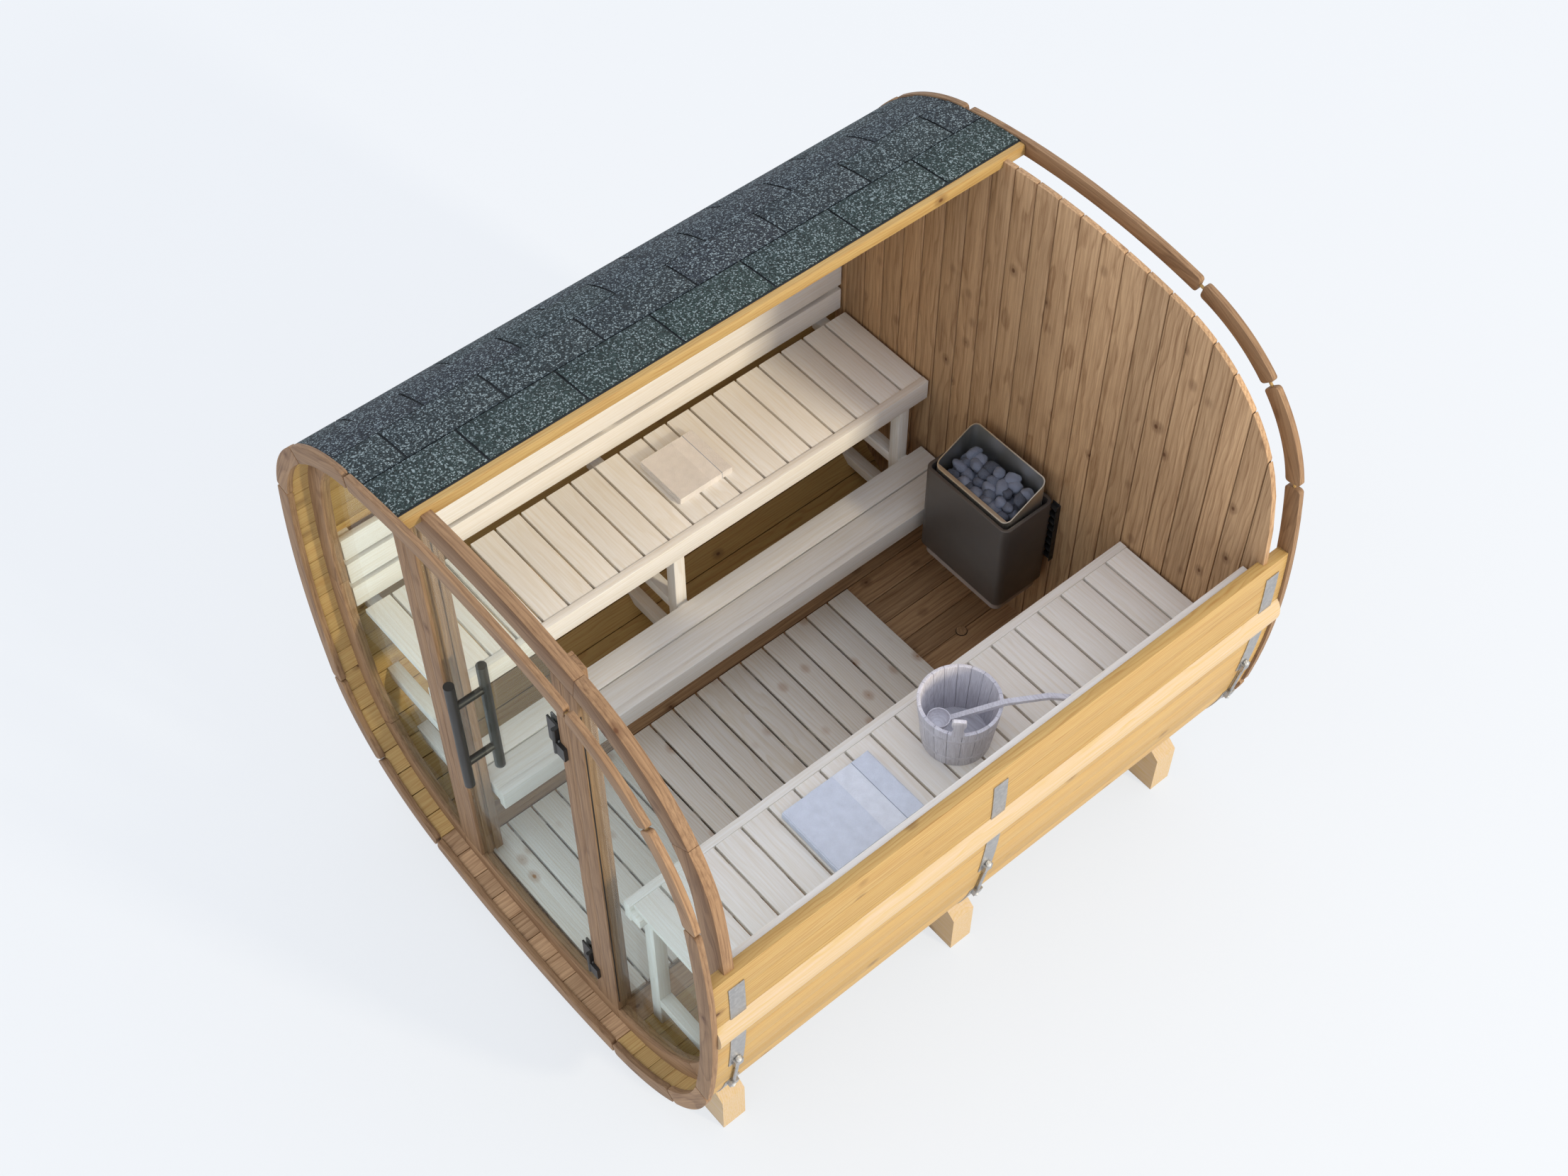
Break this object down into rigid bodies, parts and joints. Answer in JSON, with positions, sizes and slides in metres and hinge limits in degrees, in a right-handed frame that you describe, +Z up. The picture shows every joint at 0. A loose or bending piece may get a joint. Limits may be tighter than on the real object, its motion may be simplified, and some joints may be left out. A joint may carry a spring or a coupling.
{
  "type": "barrel sauna",
  "caption": "Rounded barrel sauna shown cut open, with a glass front and door, benches, heater, duckboard, bucket and towels.",
  "frame": {"origin": "centre of the footprint on the ground, under the middle beam", "axes": "+X to the right seen from the front, +Y from the glass front to the rear wall, +Z up"},
  "size_m": [2.0826, 2.3, 2.101],
  "materials": {
    "pine_staves": "planed",
    "pine_trim": "planed",
    "bench_wood": "planed",
    "bucket_wood": "whitewashed",
    "bitumen_shingle": "granulated",
    "clear_glass": "clear",
    "stainless": "brushed",
    "black_metal": "satin",
    "grey_metal": "satin",
    "galvanised": "galvanised",
    "sauna_stone": "rough",
    "blue_towelling": "looped pile",
    "beige_towelling": "looped pile"
  },
  "bodies": {
    "root": {"backrest_left": "bench_wood", "backrest_right": "bench_wood", "bench_left_frame": "bench_wood", "bench_left_slats": "bench_wood", "bench_lower_boards": "bench_wood", "bench_lower_frame": "bench_wood", "bench_right_frame": "bench_wood", "bench_right_slats": "bench_wood", "bucket": "bucket_wood", "door_hinge_pins": "black_metal", "drain_plug": "pine_staves", "duckboard": "bench_wood", "front_fascia_boards_a": "pine_trim", "front_fascia_boards_b": "pine_trim", "front_frame_left": "pine_trim", "front_frame_right": "pine_trim", "front_header": "pine_trim", "front_posts": "pine_trim", "front_side_glass": "clear_glass", "front_sill": "pine_trim", "heater_base": "grey_metal", "heater_body": "black_metal", "heater_bracket": "black_metal", "heater_collar": "stainless", "heater_stones": "sauna_stone", "ladle": "bucket_wood", "rear_fascia_boards_a": "pine_trim", "rear_fascia_boards_b": "pine_trim", "rear_wall": "pine_staves", "roof_shingles": "bitumen_shingle", "shell_corner_bottom_left": "pine_staves", "shell_corner_bottom_right": "pine_staves", "shell_corner_top_left": "pine_staves", "shell_floor": "pine_staves", "shell_roof": "pine_staves", "shell_wall_left": "pine_staves", "shell_wall_right": "pine_staves", "side_rails": "pine_staves", "side_straps": "galvanised", "strap_tensioners": "galvanised", "support_beams": "pine_staves", "towel_beige": "beige_towelling", "towel_blue": "blue_towelling", "under_straps": "galvanised"},
    "door": {"door_glass": "clear_glass", "door_handle": "black_metal", "door_hinge_clamps": "black_metal"}
  },
  "joints": [
    {"name": "door_hinge", "type": "hinge", "parent": "root", "child": "door", "pos_m": [0.308, -1.084, 0.36], "axis": [0, 0, 1], "range_deg": [0, 100]}
  ]
}
